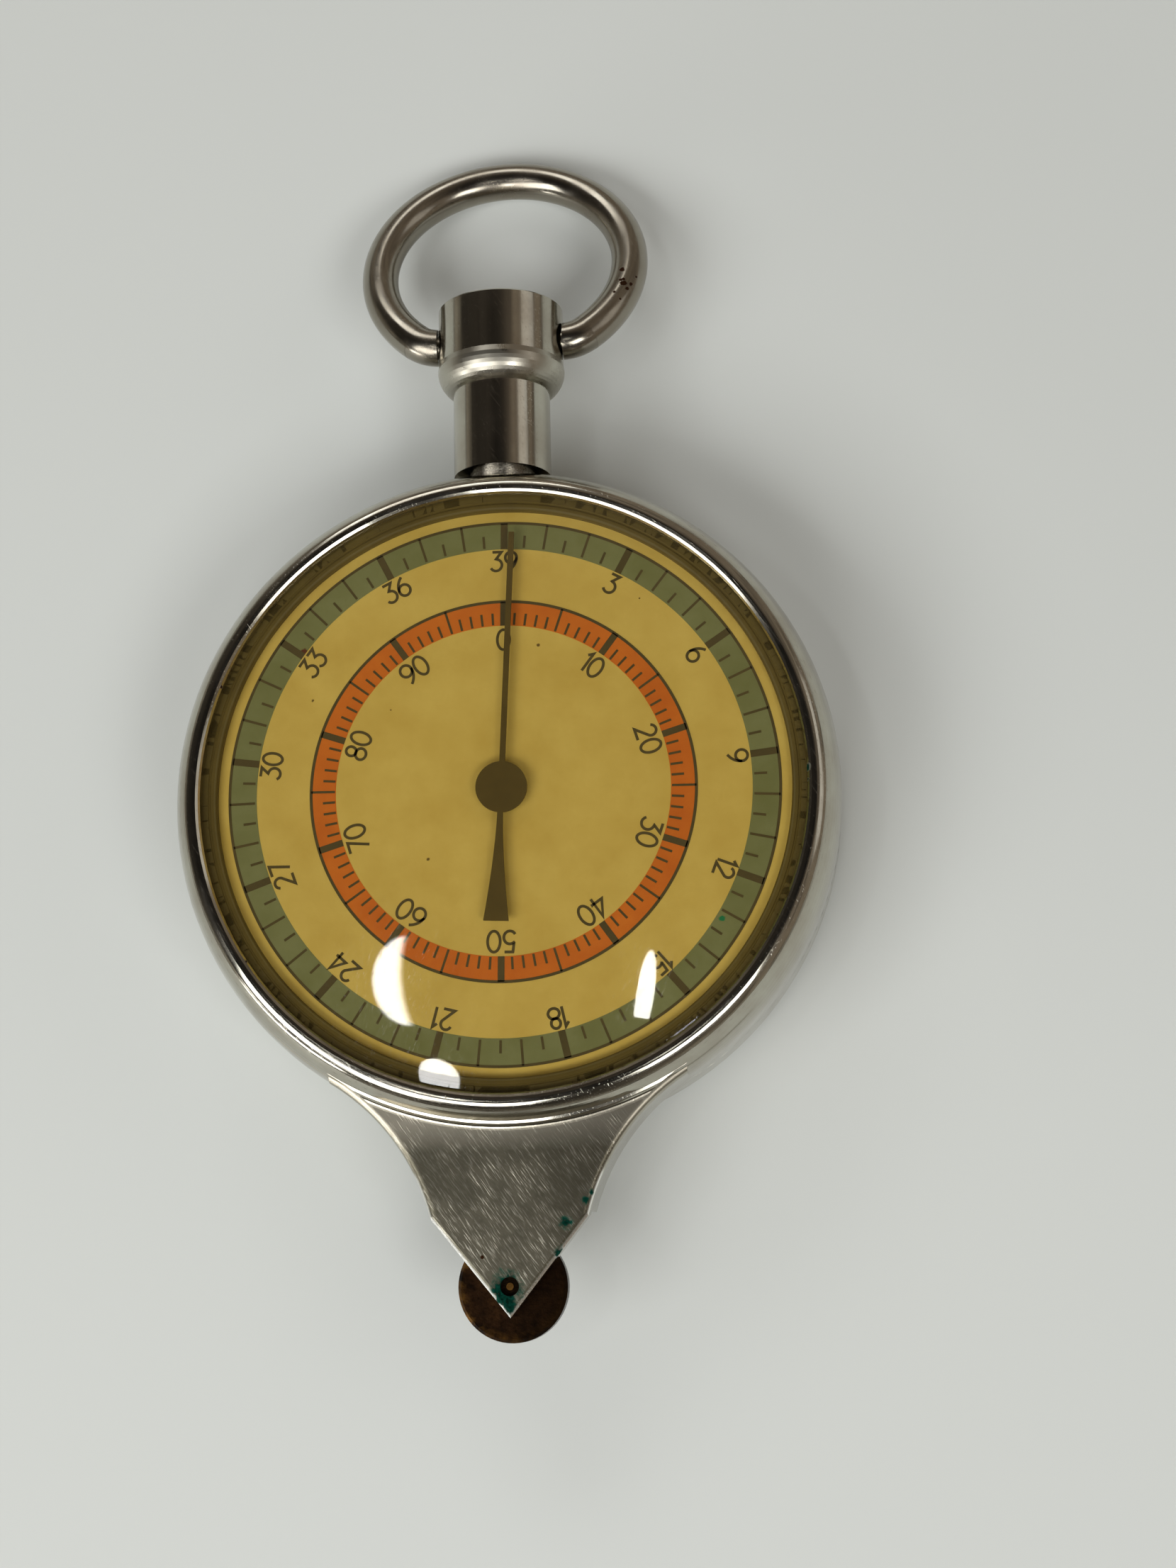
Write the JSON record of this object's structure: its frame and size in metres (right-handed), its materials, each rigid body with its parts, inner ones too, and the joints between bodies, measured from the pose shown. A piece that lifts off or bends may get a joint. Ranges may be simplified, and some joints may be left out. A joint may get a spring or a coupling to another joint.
{
  "type": "opisometer",
  "caption": "Pocket map measurer: a tracing wheel in a forked nose turns a hand over a round dial under a domed crystal, with a stem and a hinged bow to hang it by.",
  "frame": {"origin": "on the hand's arbor, at the flat of the back that the measurer lies on", "axes": "+Z out through the dial and crystal, +Y towards the stem and bow, -Y towards the nose and tracing wheel, +X to the right of the dial as read"},
  "size_m": [0.0456, 0.0863, 0.013],
  "materials": {
    "nickel": "worn nickel plate over brass",
    "cover_nickel": "worn nickel plate with wiping marks",
    "crystal": "yellowed clear acrylic, domed",
    "ring": "dark olive-brown fibre ring",
    "dial_paint": "cream enamel print, browned by age",
    "brass": "turned and cut brass",
    "steel": "turned steel",
    "wheel_steel": "brown patinated steel, worn edge",
    "hand_paint": "dark olive-brown lacquer"
  },
  "bodies": {
    "case": {"case_body": "nickel", "back_cover": "cover_nickel", "nose_plate": "nickel", "nose_plate_screws": "steel", "bezel": "nickel", "crystal": "crystal", "crystal_ring": "ring", "dial": "dial_paint", "dial_feet": "brass", "front_plate": "brass", "rear_plate": "brass", "plate_pillars": "brass", "plate_screws": "steel", "centre_bush": "brass", "nose_bush": "brass", "stem_stud": "steel", "stem_neck": "nickel", "stem_head": "nickel"},
    "wheel": {"tracing_wheel": "wheel_steel", "wheel_arbor": "steel"},
    "first": {"first_gear": "brass", "first_arbor": "steel"},
    "second": {"second_gear": "brass", "second_arbor": "steel"},
    "hand": {"centre_gear": "brass", "centre_arbor": "steel", "hand_collet": "hand_paint", "hand": "hand_paint"},
    "bow": {"bow": "nickel"}
  },
  "joints": [
    {"name": "hand_spin", "type": "hinge", "parent": "case", "child": "hand", "pos_m": [0, 0, 0.0074], "axis": [0, 0, 1], "continuous": true},
    {"name": "wheel_spin", "type": "hinge", "parent": "case", "child": "wheel", "pos_m": [0, -0.0329, 0.0074], "axis": [0, 0, 1], "continuous": true},
    {"name": "first_spin", "type": "hinge", "parent": "case", "child": "first", "pos_m": [0, -0.02858, 0.0074], "axis": [0, 0, 1], "continuous": true},
    {"name": "second_spin", "type": "hinge", "parent": "case", "child": "second", "pos_m": [0, -0.0204, 0.0074], "axis": [0, 0, 1], "continuous": true},
    {"name": "bow_swing", "type": "hinge", "parent": "case", "child": "bow", "pos_m": [0, 0.03295, 0.0074], "axis": [1, 0, 0], "range_deg": [-119, 174]}
  ],
  "couplings": [
    {"joint": "wheel_spin", "follows": "hand_spin", "ratio": -44},
    {"joint": "first_spin", "follows": "hand_spin", "ratio": 8.8},
    {"joint": "second_spin", "follows": "hand_spin", "ratio": -4}
  ]
}
